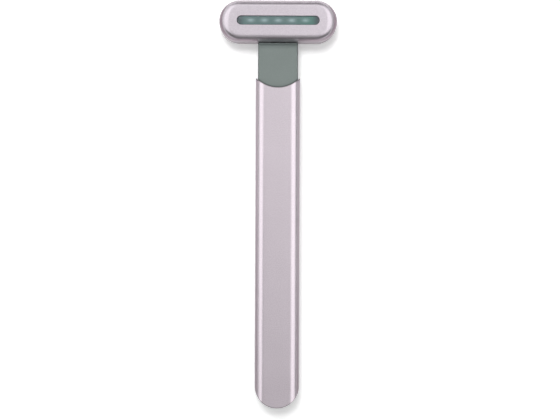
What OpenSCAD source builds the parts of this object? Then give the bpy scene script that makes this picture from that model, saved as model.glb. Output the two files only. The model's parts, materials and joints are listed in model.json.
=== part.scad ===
// Heated eye massager wand with a swivelling T-shaped head.
//
// The wand lies on its back. X runs across it, Y from the round end of the handle to the head,
// and Z up, out of the lit face. The origin is on the surface below the middle of the wand.
// The handle is an aluminium tube that holds a sliding core: end cap, frame, cell and boards.
// The neck is a split plastic tongue. It clamps a hollow pivot on which the head turns, and
// the wires to the head run through that pivot.

/* [Overall] */
// Length of the handle tube, from its round end to the tips of its upper edge
handle_len = 137; // [120:1:170]
// Length of neck that shows beside the tips of the tube
neck_show = 14.9; // [13:0.1:30]
// Width of the handle tube
handle_w = 18.5; // [18:0.5:24]
// Width of the head
head_w = 49; // [46:0.5:62]
// Height of the head, along the handle
head_h = 17.1; // [16.8:0.1:21]

/* [Handle tube] */
// Wall of the tube
shell_wall = 0.9; // [0.6:0.05:1.1]
// Outer radius of the long edges of the tube
shell_r = 4; // [3.4:0.1:5]
// Inner radius of the long edges of the tube
shell_inner_r = 2.4; // [2:0.1:3]
// Radius of the hollow arc that cuts the upper edge
upper_arc_r = 12.4; // [12:0.1:20]
// How much the round end is flatter than half the width
end_arc_extra = 0.05; // [0.02:0.01:1]

/* [Head shells] */
// Wall of the face plate and the back shell
head_wall = 1.3; // [1:0.1:1.5]
// Edge radius round the face
face_edge_r = 3.4; // [2.6:0.1:4]
// Edge radius round the back
back_edge_r = 3; // [2:0.1:3.4]
// Height of the locating lip above the seam
lip_h = 1.5; // [1.2:0.1:1.8]
// Thickness of the locating lip
lip_t = 0.8; // [0.6:0.1:1]

/* [Window and lights] */
// Length of the window slot
window_w = 34.3; // [30:0.1:36]
// Height of the window slot
window_h = 3.7; // [3:0.1:4.6]
// Depth of the lens below the face
window_recess = 0.5; // [0.2:0.1:0.8]
// How far the lens flange reaches past the slot
lens_lip = 1.1; // [0.8:0.1:1.3]
// Thickness of the lens flange
lens_lip_t = 0.8; // [0.6:0.1:1]
// Number of lights in the row
led_count = 5; // [3:1:5]
// Distance from light to light
led_pitch = 5.68; // [5:0.1:6.4]
// Length of one light, along the row
led_l = 3.5; // [2.8:0.1:3.8]
// Width of one light
led_w = 2.8; // [2:0.1:3.2]
// Height of one light
led_t = 0.7; // [0.5:0.1:1]
// Depth of the light chamber between the board and the lens
led_chamber = 2.3; // [1.8:0.1:3]

/* [Massage motor] */
// Diameter of the motor can
motor_d = 6; // [5:0.1:7.2]
// Length of the motor can
motor_l = 10; // [8:0.1:11]
// Diameter of the motor shaft
motor_shaft_d = 1; // [0.8:0.1:1.2]
// Radius of the eccentric weight
weight_r = 2.7; // [2:0.1:2.9]
// Length of the eccentric weight
weight_l = 3.4; // [2.4:0.1:3.6]
// Wall of the rubber boot
boot_t = 0.6; // [0.4:0.1:1]

/* [Swivel] */
// Diameter of the hollow pivot
pivot_d = 5; // [4.4:0.1:5.4]
// Bore of the pivot, for the wires
pivot_bore = 3.4; // [2.8:0.1:3.6]
// Wall of the bush round the pivot
bush_wall = 0.85; // [0.7:0.05:1]
// Width of the flange that the neck clamps
pivot_flange_w = 8; // [7.4:0.1:9]
// Thickness of the flange that the neck clamps
pivot_flange_t = 1.2; // [0.8:0.1:1.5]
// Turn of the head to each side, in degrees
swivel_angle = 90; // [60:5:90]
// Gap between the head and the neck
swivel_gap = 0.3; // [0.2:0.05:0.6]

/* [Neck] */
// Thickness of the neck
neck_t = 7.8; // [7.4:0.1:8.4]
// Radius of the long edges of the neck
neck_r = 0.7; // [0.3:0.1:0.9]
// Wall of the neck, front and back
neck_wall = 1.1; // [0.9:0.1:1.2]
// Side wall of the neck
neck_side = 1.5; // [1.2:0.1:1.8]
// How far the neck reaches into the tube
neck_insert = 32.5; // [31:0.5:40]

/* [Button] */
// Diameter of the button
button_d = 8; // [6:0.1:8.4]
// How far the button stands out of the back of the neck
button_proud = 0.5; // [0.3:0.1:0.8]
// Travel of the button
button_travel = 0.4; // [0.2:0.05:0.4]
// Distance of the button from the top of the neck
button_down = 10.6; // [10.4:0.1:11]

/* [Cell] */
// Diameter of the lithium cell
cell_d = 10; // [9:0.1:12]
// Length of the lithium cell
cell_l = 44; // [35:1:48]
// Room between the cell and the tube, in front and behind
cell_room = 0.6; // [0.6:0.1:1.2]

/* [Charging socket] */
// Width of the socket shell
usb_w = 8.94; // [8.94:0.01:9.2]
// Height of the socket shell
usb_h = 3.16; // [3.16:0.01:3.3]
// Length of the socket shell
usb_l = 7.3; // [6.8:0.1:8]
// Sheet thickness of the socket shell
usb_sheet = 0.3; // [0.2:0.05:0.3]
// Depth of the socket mouth behind the round end
usb_recess = 1.2; // [1.2:0.1:1.5]

/* [Boards] */
// Thickness of the main board
board_t = 0.8; // [0.6:0.1:1]
// Thickness of the charging board and the light board
small_board_t = 1; // [0.8:0.1:1.2]

/* [Clearances] */
// Gap all round between the tube and what slides into it
slide_gap = 0.05; // [0.03:0.01:0.15]
// Gap between fixed pieces that locate one another
fit = 0.05; // [0.03:0.01:0.1]
// Radial clearance of a turning fit
run = 0.05; // [0.02:0.01:0.08]
// Radial clearance of the button in its hole
button_fit = 0.1; // [0.06:0.01:0.15]
// Radial clearance round screws
screw_fit = 0.05; // [0.03:0.01:0.1]

/* [Hidden] */

$fn = 64;
eps = 0.01;
far = 200;

MAUVE = [0.80, 0.76, 0.79];
SAGE = [0.49, 0.53, 0.51];
TEAL = [0.42, 0.53, 0.51];
STEEL = [0.72, 0.72, 0.73];
BLACK = [0.13, 0.13, 0.14];
BOARD = [0.10, 0.30, 0.20];
NYLON = [0.88, 0.88, 0.86];

// Places along the wand
y_end = -(handle_len + neck_show + head_h) / 2;
y_tips = y_end + handle_len;
y_head = y_tips + neck_show;
y_mid = y_head + head_h / 2;
y_neck = y_head - swivel_gap;
y_foot = y_tips - neck_insert;

// The tube and the space inside it
handle_t = cell_d + 2 * (cell_room + shell_wall);
axis_z = handle_t / 2;
core_w = handle_w - 2 * (shell_wall + slide_gap);
core_t = handle_t - 2 * (shell_wall + slide_gap);
core_r = shell_inner_r - slide_gap;
core_z = shell_wall + slide_gap;
end_arc_r = handle_w / 2 + end_arc_extra;
end_arc_y = y_end + end_arc_r;
upper_arc_y = y_tips + sqrt(pow(upper_arc_r, 2) - pow(handle_w / 2, 2));

// End cap and charging socket
cap_recess = 0.3;
cap_l = 11;
cap_y = y_end + cap_l;
cap_front = 2.2;
cap_side = 1.15;
cap_pocket_w = handle_w - 2 * (shell_wall + slide_gap + cap_side);
cap_pocket_y = y_end + 7;
arm_t = 0.9;
arm_l = 5.5;
arm_z = axis_z + 0.1;
arm_h = 2;
hook_l = 1.2;
hook_h = 0.8;
hook_from_tip = 0.5;
usb_y = y_end + usb_recess;
usb_z = axis_z;
usb_block_l = 1.5;
tongue_w = 6.69;
tongue_t = 0.7;
tongue_l = 4.6;

// Charging board
charge_z = axis_z - usb_h / 2;
charge_w = core_w - 2.8;
charge_nose_w = usb_w + 0.3;
charge_nose_y = y_end + 3;
charge_wide_y = y_end + 7.6;
charge_to_cell = 2;

// Cell
charge_bay = 24.5;
cell_y = y_end + charge_bay;
cell_top = cell_y + cell_l;
cell_edge = 0.5;
cell_side_gap = 0.1;
cell_end_gap = 0.3;
cell_cap_d = 4;
cell_cap_t = 0.4;
tab_t = 0.2;
tab_w = 4;

// Main board
board_z = axis_z - 0.1;
board_y = cell_top + 2;
board_top = y_neck - 7.6;
board_w = core_w - 1.8;
board_neck_w = core_w - 2 * neck_side - 0.8;
board_hole_d = 2;

// Core frame
frame_floor = 0.95;
frame_stop = 1.2;
frame_board_gap = 0.1;
frame_ledge = 1.1;
frame_rise = 0.8;
tongue_reach = 5;
clip_l = 3;
window_gap_l = 8;

// Neck
neck_z = axis_z - neck_t / 2;
neck_top_z = axis_z + neck_t / 2;
cavity_w = core_w - 2 * neck_side;
neck_fall = 0.9;
neck_fall_l = 2;
neck_fall_r = (pow(neck_fall_l, 2) + pow(neck_fall, 2)) / (2 * neck_fall);
pivot_seat = 5.5;
cavity_top = y_neck - pivot_seat;
ring_l = 4;
ring_places = [0, 8, 20];
ledge_places = [14, 33];
ledge_l = 4;
ledge_w = 0.9;

// Screws of the core
screw_d = 1.6;
screw_head_d = 3;
screw_head_t = 0.9;
screw_sink = 0.05;
boss_d = 4;
neck_screw_y = [for (i = [1, 2]) y_foot + ring_places[i] + ring_l / 2];
frame_screw_y = y_foot + ring_l / 2;

// Button and switch
button_y = y_neck - button_down;
button_flange = 0.7;
button_flange_t = 0.5;
button_seat_gap = 0.03;
switch_w = 4.5;
switch_t = 1.2;
plunger_d = 1.8;
plunger_out = 0.5;
plunger_in = 0.7;
button_flange_z = neck_z + neck_wall + button_seat_gap;
plunger_z = board_z - switch_t - plunger_out;

// Swivel, from the neck into the head
pivot_y = y_neck - 5.9;
pivot_flange_y = y_neck - 4.5;
pivot_flange_h = neck_t - 2 * neck_wall;
bush_r = pivot_d / 2 + run;
bush_outer_r = bush_r + bush_wall;
bush_flange_r = bush_outer_r + 0.8;
bush_flange_t = 0.85;
bush_y = y_neck + 0.1;
bush_top = y_head + head_wall + 1.3;
wave_room = 0.55;
wave_t = 0.2;
wave_rise = 0.13;
wave_w = 1.1;
ring_y = bush_top + wave_room + 0.05;
ring_t = 0.5;
groove_depth = 0.35;
ring_outer_r = pivot_d / 2 + 1.4;
ring_mouth = 3.6;
stop_y = ring_y + ring_t + 0.1;
stop_t = 1;
stop_hub_r = pivot_d / 2 + 1.1;
stop_lug_r = pivot_d / 2 + 2.4;
stop_lug_w = 1.8;
stop_gap = 0.05;
pivot_flat = 0.4;
pivot_top = stop_y + stop_t + 0.4;

// Stack inside the head, from the back to the face
motor_z = head_wall + boot_t + motor_d / 2;
carrier_room = 0.5;
bridge_t = 1;
led_board_z = max(head_wall + 2 * boot_t + motor_d + 0.1,
                  axis_z + ring_outer_r + carrier_room + bridge_t - led_chamber - small_board_t);
carrier_z = led_board_z + small_board_t;
lens_z = carrier_z + led_chamber;
head_t = lens_z + lens_lip_t + head_wall;
face_in_z = head_t - head_wall;
head_inner_h = head_h - 2 * head_wall;

// Light board, carrier and lens
carrier_w = head_w - 10.4;
carrier_h = head_h - 4.7;
led_board_w = head_w - 11.8;
led_board_h = head_h - 8.1;
chamber_w = window_w + 1.2;
chamber_h = window_h + 1.3;
lens_fit = 0.08;
film_t = 0.2;
film_margin = 2.1;
bead_d = 1.1;
bead_l = 2.4;
peg_d = 1.2;
peg_x = led_board_w / 2 - 3.1;
peg_y = led_board_h / 2 - 1;
carrier_boss_d = 2.5;
carrier_boss_x = 11;
carrier_boss_y = head_h / 2 - 3.6;
small_screw_d = 1;
small_screw_head_d = 2.2;
small_screw_head_t = 0.8;
small_screw_l = 6;
clamp_w = 10.4;
clamp_chamfer = 0.75;
pivot_room_w = 9.2;
notch_w = 10.4;
notch_y = pivot_top + 0.3;

// Snaps that hold the face plate
snap_x = 10;
snap_l = 4;
snap_out = 0.25;
snap_h = 0.5;
snap_room = 0.1;
snap_z = axis_z + lip_h - 0.9;

// Motor, its cradle and its weight
motor_x = 7;
motor_nose_l = 0.6;
motor_nose_d = 2.4;
shaft_in = 3;
boot_margin = 1;
boot_x = motor_x + boot_margin;
boot_l = motor_l - 2 * boot_margin;
cradle_t = 0.8;
cradle_h = motor_z - head_wall - 0.3;
weight_x = motor_x + motor_l + motor_nose_l + 0.4;
weight_hub_r = 1.2;
shaft_fit = 0.01;

// Wires
bundle_d = 2.2;
bundle_end = pivot_top + 3;
wire_d = 1.1;
fine_wire_d = 0.8;
wire_sides = 8;

// ---------------------------------------------------------------- shared shapes

// Flat outline given as (x, z), drawn out along Y
module along_y(y0, y1) {
    translate([0, y1, 0]) rotate([90, 0, 0]) linear_extrude(y1 - y0) children();
}

// Flat outline given as (y, z), drawn out along X
module along_x(x0, x1) {
    translate([x0, 0, 0]) rotate([90, 0, 90]) linear_extrude(x1 - x0) children();
}

// Flat outline drawn out along Z
module rise(z0, z1) {
    translate([0, 0, z0]) linear_extrude(z1 - z0) children();
}

// Round bar along Y, on the axis of the wand unless it is given another height
module bar_y(r, y0, y1, z = axis_z) {
    translate([0, y1, z]) rotate([90, 0, 0]) cylinder(r = r, h = y1 - y0);
}

// Round bar along Z
module bar_z(r, z0, z1, x = 0, y = 0) {
    translate([x, y, z0]) cylinder(r = r, h = z1 - z0);
}

// Box between two corners
module block(low, high) {
    translate(low) cube(high - low);
}

module rounded_rect(w, h, r) {
    square([w - 2 * r, h], center = true);
    square([w, h - 2 * r], center = true);
    for (sx = [-1, 1], sy = [-1, 1])
        translate([sx * (w / 2 - r), sy * (h / 2 - r)]) circle(r);
}

module stadium(w, h) {
    square([w - h, h], center = true);
    for (side = [-1, 1]) translate([side * (w - h) / 2, 0]) circle(h / 2);
}

// Stadium slab at the middle line of the head
module head_slab(w, h, z0, z1) {
    translate([0, y_mid, 0]) rise(z0, z1) stadium(w, h);
}

// Cross-section of the core that slides into the tube, in (x, z)
module core_section() {
    translate([0, axis_z]) rounded_rect(core_w, core_t, core_r);
}

// Sweeps a half section, in (distance from the middle line, z), round a head-shaped plan
module sweep_head(plan_w, plan_h) {
    reach = (plan_w - plan_h) / 2;
    for (side = [0, 1])
        translate([0, y_mid, 0]) mirror([side, 0, 0]) translate([reach, 0, 0])
            rotate([0, 0, -90]) rotate_extrude(angle = 180) children();
    translate([0, y_mid, 0]) along_x(-reach, reach) {
        children();
        mirror([1, 0]) children();
    }
}

// Half section of the outside of the head
module head_half_section() {
    half = head_h / 2;
    square([half - face_edge_r, head_t]);
    translate([0, back_edge_r]) square([half, head_t - face_edge_r - back_edge_r]);
    square([half - back_edge_r, head_t / 2]);
    translate([half - face_edge_r, head_t - face_edge_r]) circle(face_edge_r);
    translate([half - back_edge_r, back_edge_r]) circle(back_edge_r);
}

// Half section of the space inside the head
module head_half_cavity() {
    half = head_inner_h / 2;
    face_r = face_edge_r - head_wall;
    back_r = back_edge_r - head_wall;
    translate([0, head_wall]) square([half - face_r, face_in_z - head_wall]);
    translate([0, head_wall + back_r]) square([half, face_in_z - head_wall - face_r - back_r]);
    translate([0, head_wall]) square([half - back_r, head_t / 2]);
    translate([half - face_r, face_in_z - face_r]) circle(face_r);
    translate([half - back_r, head_wall + back_r]) circle(back_r);
}

module below_seam() {
    translate([0, -far]) square([far, far + axis_z]);
}

module above_seam() {
    translate([0, axis_z]) square([far, far]);
}

// Countersunk or cheese-head screw that points up
module screw(d, head_d, head_t, length, sink = 0) {
    if (sink > 0) {
        cylinder(h = head_t, r1 = head_d / 2, r2 = d / 2);
    } else {
        cylinder(h = head_t, d = head_d);
    }
    translate([0, 0, head_t]) cylinder(h = length - head_t, d = d);
}

function unit(v) = v / norm(v);

function route_dir(route, i) =
    unit(route[min(i + 1, len(route) - 1)] - route[max(i - 1, 0)]);

// Wire of round section along a list of points, none of whose steps runs along Z
module wire(route, d) {
    rings = [for (i = [0:len(route) - 1])
        let (t = route_dir(route, i), u = unit(cross(t, [0, 0, 1])), v = cross(u, t))
        [for (k = [0:wire_sides - 1])
            route[i] + d / 2 * (cos(360 * k / wire_sides) * u + sin(360 * k / wire_sides) * v)]];
    sides = [for (i = [0:len(route) - 2], k = [0:wire_sides - 1])
        let (a = i * wire_sides + k, b = i * wire_sides + (k + 1) % wire_sides)
        each [[a, b, a + wire_sides], [b, b + wire_sides, a + wire_sides]]];
    first_end = [[for (k = [0:wire_sides - 1]) wire_sides - 1 - k]];
    last_end = [[for (k = [0:wire_sides - 1]) (len(route) - 1) * wire_sides + k]];
    polyhedron([for (ring = rings) each ring], concat(sides, first_end, last_end));
}

// ---------------------------------------------------------------- handle

// Plan of the tube: a hollow arc above and a round end below
module handle_plan(inset) {
    difference() {
        union() {
            translate([-handle_w / 2, end_arc_y])
                square([handle_w, y_tips - end_arc_y]);
            intersection() {
                translate([0, end_arc_y]) circle(end_arc_r - inset, $fn = 128);
                translate([-handle_w / 2, y_end]) square([handle_w, end_arc_r + eps]);
            }
        }
        translate([0, upper_arc_y]) circle(upper_arc_r, $fn = 128);
    }
}

module handle_shell() {
    color(MAUVE) intersection() {
        along_y(y_end - 1, y_tips + 1) difference() {
            translate([0, axis_z]) rounded_rect(handle_w, handle_t, shell_r);
            translate([0, axis_z])
                rounded_rect(handle_w - 2 * shell_wall, handle_t - 2 * shell_wall, shell_inner_r);
        }
        rise(-1, handle_t + 1) handle_plan(0);
    }
}

// Moulded cap that follows the round end, with the socket's opening and two snap arms
module end_cap() {
    color(SAGE) {
        difference() {
            intersection() {
                along_y(y_end, cap_y) core_section();
                rise(0, handle_t) handle_plan(cap_recess);
            }
            along_y(y_end - 1, y_end + cap_front + 1)
                translate([0, usb_z]) stadium(usb_w + 2 * fit, usb_h + 2 * fit);
            block([-charge_nose_w / 2 - fit, y_end + cap_front, charge_z - small_board_t - fit],
                  [charge_nose_w / 2 + fit, cap_y + 1, usb_z + usb_h / 2 + 0.4]);
            block([-cap_pocket_w / 2, cap_pocket_y, core_z + 1],
                  [cap_pocket_w / 2, cap_y + 1, handle_t - core_z - 1]);
        }
        for (side = [0, 1]) mirror([side, 0, 0]) {
            block([core_w / 2 - arm_t, cap_y, arm_z], [core_w / 2, cap_y + arm_l, arm_z + arm_h]);
            block([core_w / 2 - arm_t, cap_y + arm_l - hook_from_tip - hook_l, arm_z - hook_h],
                  [core_w / 2, cap_y + arm_l - hook_from_tip, arm_z]);
        }
    }
}

module usb_shell() {
    color(STEEL) along_y(usb_y, usb_y + usb_l) translate([0, usb_z]) difference() {
        stadium(usb_w, usb_h);
        stadium(usb_w - 2 * usb_sheet, usb_h - 2 * usb_sheet);
    }
}

module usb_tongue() {
    block_y = usb_y + usb_l - usb_block_l;
    color(BLACK) {
        along_y(block_y, usb_y + usb_l) translate([0, usb_z])
            stadium(usb_w - 2 * (usb_sheet + fit), usb_h - 2 * (usb_sheet + fit));
        block([-tongue_w / 2, block_y - tongue_l, usb_z - tongue_t / 2],
              [tongue_w / 2, block_y, usb_z + tongue_t / 2]);
    }
}

module charge_board() {
    color(BOARD) rise(charge_z - small_board_t, charge_z) {
        translate([-charge_nose_w / 2, charge_nose_y])
            square([charge_nose_w, charge_wide_y - charge_nose_y]);
        translate([-charge_w / 2, charge_wide_y])
            square([charge_w, cell_y - charge_to_cell - charge_wide_y]);
    }
}

// Charger chip, choke and capacitors, seated on the board
module charge_parts() {
    y0 = usb_y + usb_l;
    color(BLACK) {
        block([-2, y0 + 1.6, charge_z], [2, y0 + 5.6, charge_z + 0.9]);
        block([3, y0 + 3, charge_z], [6, y0 + 6, charge_z + 1.4]);
        for (i = [0:2])
            block([-6, y0 + 2 + 1.6 * i, charge_z], [-4.4, y0 + 2.8 + 1.6 * i, charge_z + 0.6]);
    }
}

// Two leads that carry charge past the cell to the main board
module charge_leads() {
    lead_x = core_w / 2 - 1.4;
    lead_z = board_z + board_t + 0.7;
    route = [[lead_x - 1.3, cell_y - 6.5, charge_z + 0.6], [lead_x - 1.1, cell_y - 5, charge_z + 0.8],
             [lead_x - 0.5, cell_y - 3, charge_z + 2.2], [lead_x - 0.1, cell_y - 0.8, lead_z - 0.3],
             [lead_x, cell_y + 2, lead_z], [lead_x, cell_top - 3, lead_z],
             [lead_x - 0.3, cell_top, lead_z], [lead_x - 0.8, board_y + 2.5, lead_z - 0.1]];
    color("firebrick") wire(route, wire_d);
    color("black") mirror([1, 0, 0]) wire(route, wire_d);
}

// Lithium cell with rolled edges and a raised cap at its upper end
module battery_cell() {
    r = cell_d / 2;
    color([0.25, 0.42, 0.62]) translate([0, cell_y, axis_z]) rotate([-90, 0, 0])
        rotate_extrude() {
            translate([0, cell_edge]) square([r, cell_l - 2 * cell_edge - cell_cap_t]);
            square([r - cell_edge, cell_l - cell_cap_t]);
            square([cell_cap_d / 2, cell_l]);
            for (v = [cell_edge, cell_l - cell_edge - cell_cap_t])
                translate([r - cell_edge, v]) circle(cell_edge, $fn = 24);
        }
}

// Bent nickel strips from the ends of the cell to the boards
module battery_tabs() {
    color(STEEL) {
        block([-tab_w / 2, cell_y - tab_t, charge_z], [tab_w / 2, cell_y, axis_z + 2]);
        block([-tab_w / 2, cell_y - charge_to_cell - 2, charge_z],
              [tab_w / 2, cell_y - tab_t, charge_z + tab_t]);
        block([-tab_w / 2, cell_top, axis_z - 1], [tab_w / 2, cell_top + tab_t, board_z + board_t]);
        block([-tab_w / 2, cell_top, board_z + board_t],
              [tab_w / 2, board_y + 2, board_z + board_t + tab_t]);
    }
}

// Tray that carries both boards and the cell and slides into the tube
module inner_frame() {
    charge_low = charge_z - small_board_t;
    bay_y = cell_y - cell_end_gap - frame_stop;
    tray_y = cell_top + cell_end_gap + frame_stop;
    color(NYLON) difference() {
        union() {
            intersection() {
                along_y(cap_y, y_foot) core_section();
                union() {
                    block([-far, cap_y, 0], [far, tray_y, axis_z]);
                    block([-far, tray_y, 0], [far, y_foot, board_z + board_t + frame_rise]);
                }
            }
            block([-3.8, y_foot - 1.5, neck_z + neck_wall + fit],
                  [3.8, y_foot + tongue_reach, neck_z + neck_wall + fit + 1.3]);
        }
        // bay of the charging board, open towards the cap
        block([-charge_w / 2 - frame_board_gap, cap_y - 1, charge_low],
              [charge_w / 2 + frame_board_gap, bay_y, far]);
        block([-charge_w / 2 + frame_ledge, cap_y - 1, core_z + frame_floor],
              [charge_w / 2 - frame_ledge, bay_y, far]);
        // slot for the lower tab, then the bed of the cell and the windows below it
        block([-tab_w / 2 - 0.5, bay_y - 1, charge_z], [tab_w / 2 + 0.5, cell_y, far]);
        bar_y(cell_d / 2 + cell_side_gap, cell_y - cell_end_gap, cell_top + cell_end_gap);
        for (place = [0.2, 0.5, 0.8])
            block([-2.6, cell_y + place * cell_l - window_gap_l / 2, -1],
                  [2.6, cell_y + place * cell_l + window_gap_l / 2, axis_z]);
        // bay of the main board, with the space for parts below it
        block([-board_w / 2 - frame_board_gap, tray_y, board_z],
              [board_w / 2 + frame_board_gap, y_foot + 1, far]);
        block([-board_w / 2 + frame_ledge, tray_y + 1, core_z + frame_floor],
              [board_w / 2 - frame_ledge, y_foot - 1.5, far]);
        // notches for the hooks of the end cap, and the hole of its own screw
        notch_end_y = cap_y + arm_l - hook_from_tip;
        for (side = [0, 1]) mirror([side, 0, 0])
            block([core_w / 2 - arm_t - fit, notch_end_y - hook_l - fit, arm_z - hook_h - fit],
                  [far, notch_end_y + fit, far]);
        bar_z(screw_d / 2 + screw_fit, 0, axis_z, 0, frame_screw_y);
    }
    // clips over the edges of the main board
    color(NYLON) for (side = [0, 1], place = [0.25, 0.75]) mirror([side, 0, 0])
        translate([0, board_y + place * (y_foot - board_y), 0])
            along_y(-clip_l / 2, clip_l / 2) translate([board_w / 2, board_z + board_t])
                polygon([[frame_board_gap, 0], [-0.5, 0.05], [frame_board_gap, frame_rise]]);
}

module frame_screw() {
    color(STEEL) translate([0, frame_screw_y, core_z + screw_sink])
        screw(screw_d, screw_head_d, screw_head_t, neck_z + neck_wall + 1.2 - core_z);
}

// Main board: wide beside the frame, narrow in the neck, drilled for the neck screws
module main_board() {
    color(BOARD) rise(board_z, board_z + board_t) difference() {
        union() {
            translate([-board_w / 2, board_y]) square([board_w, y_foot - 0.5 - board_y]);
            translate([-board_neck_w / 2, y_foot - 1]) square([board_neck_w, board_top - y_foot + 1]);
        }
        for (y = neck_screw_y) translate([0, y]) circle(d = board_hole_d);
    }
}

// Controller, boost coil, driver and passives, on both faces of the main board
module board_parts() {
    top = board_z + board_t;
    y1 = board_y + 6;
    color(BLACK) {
        block([-2.5, y1, top], [2.5, y1 + 5, top + 0.9]);
        block([-4.8, y1 + 8, top], [-1.8, y1 + 11, top + 0.8]);
        bar_z(2.4, top, top + 2.2, 2.6, y1 + 9.6);
        for (i = [0:3]) block([4.2, y1 - 2 + 1.7 * i, top], [5.8, y1 - 1.2 + 1.7 * i, top + 0.5]);
        block([-3, y_foot + 14.4, top], [1, y_foot + 18.4, top + 0.9]);
        for (i = [0:2]) block([2.4, y_foot + 14.4 + 1.6 * i, top], [4, y_foot + 15.2 + 1.6 * i, top + 0.5]);
    }
    color(STEEL) block([-5, y1 + 2, board_z - 1.8], [1, y1 + 8, board_z]);
}

module tact_switch() {
    color(BLACK) difference() {
        block([-switch_w / 2, button_y - switch_w / 2, board_z - switch_t],
              [switch_w / 2, button_y + switch_w / 2, board_z]);
        bar_z(plunger_d / 2 + run, board_z - switch_t - 1,
              plunger_z + plunger_out + plunger_in + button_travel + fit, 0, button_y);
    }
}

module switch_plunger() {
    color(NYLON) bar_z(plunger_d / 2, plunger_z, plunger_z + plunger_out + plunger_in, 0, button_y);
}

// Button with a dished face, a flange behind the wall and a boss on the switch
module button_cap() {
    dish = 0.25;
    dish_r = (pow(button_d / 2 - 0.8, 2) + dish * dish) / (2 * dish);
    face_z = neck_z - button_proud;
    color(SAGE) difference() {
        union() {
            translate([0, button_y, 0]) rotate_extrude() {
                translate([0, face_z + 0.3]) square([button_d / 2, button_flange_z - face_z - 0.3]);
                translate([0, face_z]) square([button_d / 2 - 0.3, 1]);
                translate([button_d / 2 - 0.3, face_z + 0.3]) circle(0.3, $fn = 24);
            }
            bar_z(button_d / 2 + button_flange, button_flange_z, button_flange_z + button_flange_t,
                  0, button_y);
            bar_z(1.5, button_flange_z, plunger_z, 0, button_y);
        }
        translate([0, button_y, face_z + dish - dish_r]) sphere(dish_r, $fn = 96);
    }
}

// ---------------------------------------------------------------- neck

// What is rounded off the front and back edges of the neck before the head
module neck_fall_cut() {
    for (side = [0, 1]) translate([0, 0, axis_z]) mirror([0, 0, side]) along_x(-far, far) difference() {
        translate([y_neck - neck_fall_l, neck_t / 2 - neck_fall]) square([far, far]);
        translate([y_neck - neck_fall_l, neck_t / 2 - neck_fall_r]) circle(neck_fall_r, $fn = 64);
    }
}

// Tongue of the neck, its locating rings inside the tube, and the space inside
module neck_body() {
    difference() {
        union() {
            along_y(y_foot, y_neck) translate([0, axis_z]) rounded_rect(core_w, neck_t, neck_r);
            for (place = ring_places)
                along_y(y_foot + place, y_foot + place + ring_l) core_section();
        }
        neck_fall_cut();
        block([-cavity_w / 2, y_foot - 1, neck_z + neck_wall],
              [cavity_w / 2, cavity_top, neck_top_z - neck_wall]);
        bar_y(pivot_d / 2 + fit, cavity_top - 1, y_neck + 1);
        intersection() {
            bar_y(pivot_flange_w / 2 + fit, pivot_flange_y - fit, pivot_flange_y + pivot_flange_t + fit);
            block([-far, y_foot, axis_z - pivot_flange_h / 2 - fit],
                  [far, y_neck, axis_z + pivot_flange_h / 2 + fit]);
        }
    }
}

module neck_front() {
    roof = neck_top_z - neck_wall;
    ledge_x = cavity_w / 2 - ledge_w;
    color(SAGE) {
        difference() {
            union() {
                intersection() {
                    neck_body();
                    block([-far, -far, axis_z], [far, far, far]);
                }
                for (y = neck_screw_y) bar_z(boss_d / 2, board_z + board_t, roof + eps, 0, y);
                for (place = ledge_places, side = [-1, 1])
                    block([side > 0 ? ledge_x : -cavity_w / 2 - eps, y_foot + place, board_z + board_t],
                          [side > 0 ? cavity_w / 2 + eps : -ledge_x, y_foot + place + ledge_l, roof + eps]);
            }
            for (y = neck_screw_y) bar_z(screw_d / 2 + screw_fit, 0, roof + 0.6, 0, y);
        }
    }
}

module neck_back() {
    floor_z = neck_z + neck_wall;
    ledge_x = cavity_w / 2 - ledge_w;
    head_z = core_z + screw_sink + screw_head_t;
    color(SAGE) difference() {
        union() {
            intersection() {
                neck_body();
                block([-far, -far, 0], [far, far, axis_z]);
            }
            for (y = neck_screw_y) bar_z(boss_d / 2, floor_z - eps, board_z, 0, y);
            for (place = ledge_places, side = [-1, 1])
                block([side > 0 ? ledge_x : -cavity_w / 2 - eps, y_foot + place, floor_z - eps],
                      [side > 0 ? cavity_w / 2 + eps : -ledge_x, y_foot + place + ledge_l, board_z]);
        }
        for (y = concat(neck_screw_y, [frame_screw_y])) {
            bar_z(screw_d / 2 + screw_fit, 0, axis_z, 0, y);
            bar_z(screw_head_d / 2 + screw_fit, 0, head_z, 0, y);
        }
        bar_z(button_d / 2 + button_fit, 0, axis_z, 0, button_y);
    }
}

module neck_screws() {
    color(STEEL) for (y = neck_screw_y) translate([0, y, core_z + screw_sink])
        screw(screw_d, screw_head_d, screw_head_t, neck_top_z - neck_wall + 0.4 - core_z);
}

// ---------------------------------------------------------------- swivel

// Hollow pivot: clamped flange below, ring groove and two flats above
module swivel_shaft() {
    color(STEEL) difference() {
        union() {
            bar_y(pivot_d / 2, pivot_y, pivot_top);
            intersection() {
                bar_y(pivot_flange_w / 2, pivot_flange_y, pivot_flange_y + pivot_flange_t);
                block([-far, pivot_y, axis_z - pivot_flange_h / 2],
                      [far, y_neck, axis_z + pivot_flange_h / 2]);
            }
        }
        bar_y(pivot_bore / 2, pivot_y - 1, pivot_top + 1);
        difference() {
            bar_y(pivot_d, ring_y, ring_y + ring_t);
            bar_y(pivot_d / 2 - groove_depth, ring_y - 1, ring_y + ring_t + 1);
        }
        for (side = [0, 1]) mirror([side, 0, 0])
            block([pivot_d / 2 - pivot_flat, stop_y, 0], [pivot_d, pivot_top + 1, far]);
    }
}

// Flanged bush, clamped between the back shell and the carrier
module swivel_bush() {
    flange_y = y_head + head_wall + fit;
    color(BLACK) difference() {
        union() {
            bar_y(bush_outer_r, bush_y, bush_top);
            bar_y(bush_flange_r, flange_y, flange_y + bush_flange_t);
        }
        bar_y(bush_r, bush_y - 1, bush_top + 1);
    }
}

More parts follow.
